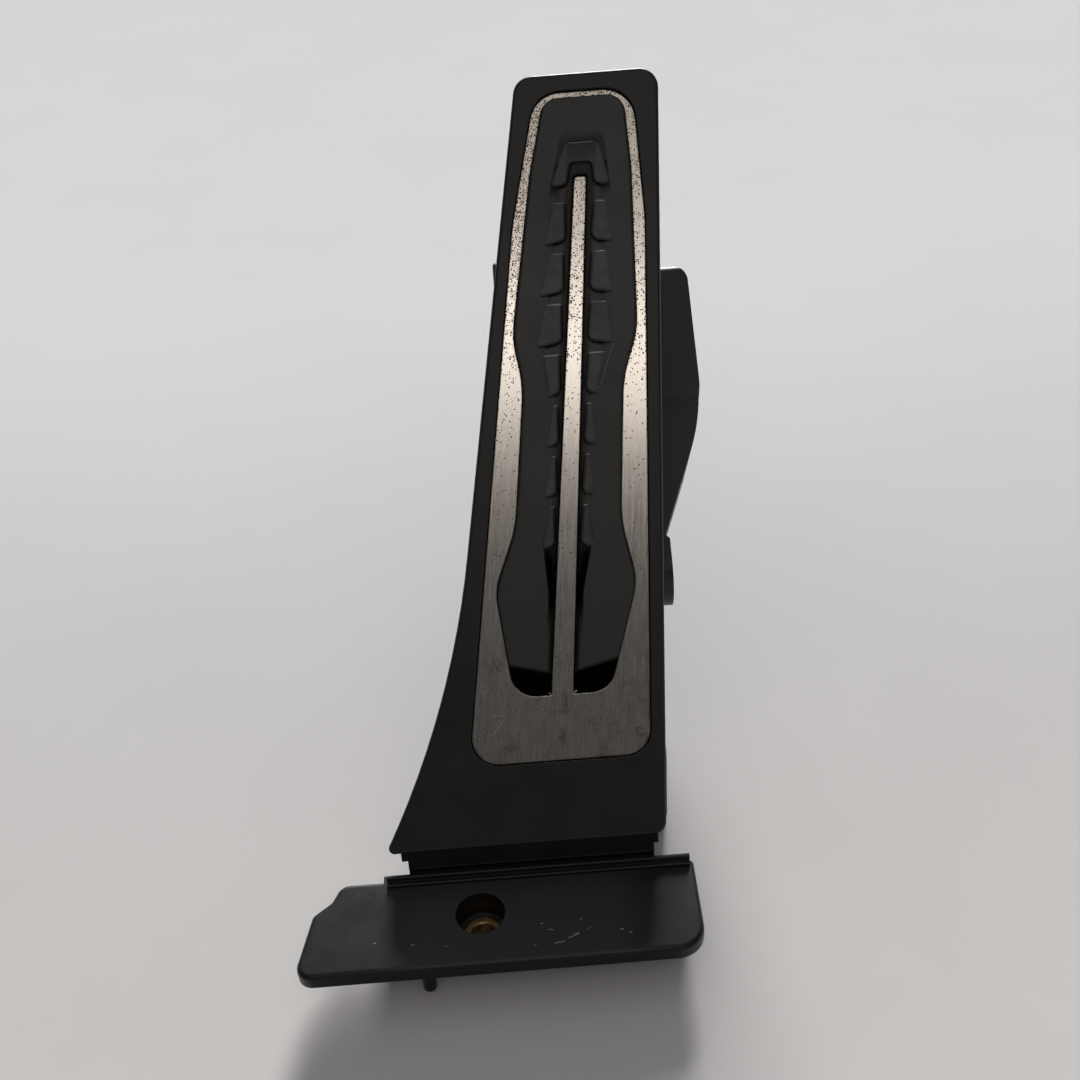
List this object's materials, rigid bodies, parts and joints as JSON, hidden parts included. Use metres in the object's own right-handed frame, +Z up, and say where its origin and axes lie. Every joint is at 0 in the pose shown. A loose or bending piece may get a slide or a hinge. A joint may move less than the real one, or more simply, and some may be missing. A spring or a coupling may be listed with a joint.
{
  "type": "accelerator pedal",
  "caption": "Floor-standing accelerator pedal module: leaning pad with steel trim and rubber insert, film hinge on a foot flange, lever, return springs and angle sensor in a housing behind.",
  "frame": {"origin": "axis of the floor screw hole at the floor plane under the foot", "axes": "+Z up from the floor, +Y towards the front of the car, +X to the right of the driver"},
  "size_m": [0.1317, 0.2144, 0.2031],
  "materials": {
    "foot_plastic": "satin black moulded plastic",
    "pad_plastic": "satin black moulded plastic",
    "housing_plastic": "black glass-filled plastic",
    "cover_plastic": "black glass-filled plastic",
    "bearing_plastic": "natural slippery plastic",
    "sleeve_brass": "dull yellow",
    "trim_steel": "brushed lengthwise, worn and pitted",
    "insert_rubber": "satin black",
    "spring_steel": "drawn wire",
    "screw_steel": "zinc plated",
    "axle_steel": "ground",
    "rotor_metal": "plain",
    "gasket_rubber": "soft black",
    "board": "green circuit board",
    "terminal_metal": "tinned"
  },
  "bodies": {
    "module_base": {"base_plate": "foot_plastic", "screw_sleeve": "sleeve_brass", "base_screws": "screw_steel", "hinge_strip": "pad_plastic", "housing": "housing_plastic", "left_bush": "bearing_plastic", "right_bush": "bearing_plastic", "lower_spring_seat": "bearing_plastic", "outer_spring": "spring_steel", "inner_spring": "spring_steel", "sensor_cover": "cover_plastic", "cover_gasket": "gasket_rubber", "cover_screws": "screw_steel", "sensor_board": "board", "connector_terminals": "terminal_metal", "kickdown_spring": "spring_steel", "kickdown_cap": "housing_plastic"},
    "pedal": {"pedal_pad": "pad_plastic", "trim_plate": "trim_steel", "rubber_insert": "insert_rubber", "slide_guide": "bearing_plastic"},
    "lever_body": {"lever": "housing_plastic", "axle": "axle_steel", "sensor_rotor": "rotor_metal"},
    "cup": {"spring_cup": "bearing_plastic"},
    "kickdown": {"kickdown_plunger": "bearing_plastic"}
  },
  "joints": [
    {"name": "pedal_hinge", "type": "hinge", "parent": "module_base", "child": "pedal", "pos_m": [0, 0.015, 0.0205], "axis": [-1, 0, 0], "range_deg": [0, 16], "stiffness_Nm_per_rad": 8, "springref_deg": -34.38},
    {"name": "lever_pivot", "type": "hinge", "parent": "module_base", "child": "lever_body", "pos_m": [0, 0.10192, 0.0547], "axis": [-1, 0, 0], "range_deg": [0, 36.75], "deforming": ["outer_spring", "inner_spring"]},
    {"name": "cup_rock", "type": "hinge", "parent": "lever_body", "child": "cup", "pos_m": [0, 0.12359, 0.05852], "axis": [-1, 0, 0], "range_deg": [-36.75, 0]},
    {"name": "kickdown_slide", "type": "slide", "parent": "module_base", "child": "kickdown", "axis": [0, 0.6018, -0.7986], "range_m": [0, 0.0033], "stiffness_N_per_m": 2000, "springref_m": -0.005, "deforming": ["kickdown_spring"]}
  ],
  "couplings": [
    {"joint": "lever_pivot", "follows": "pedal_hinge", "ratio": 2.2965},
    {"joint": "cup_rock", "follows": "pedal_hinge", "ratio": -2.2965}
  ]
}
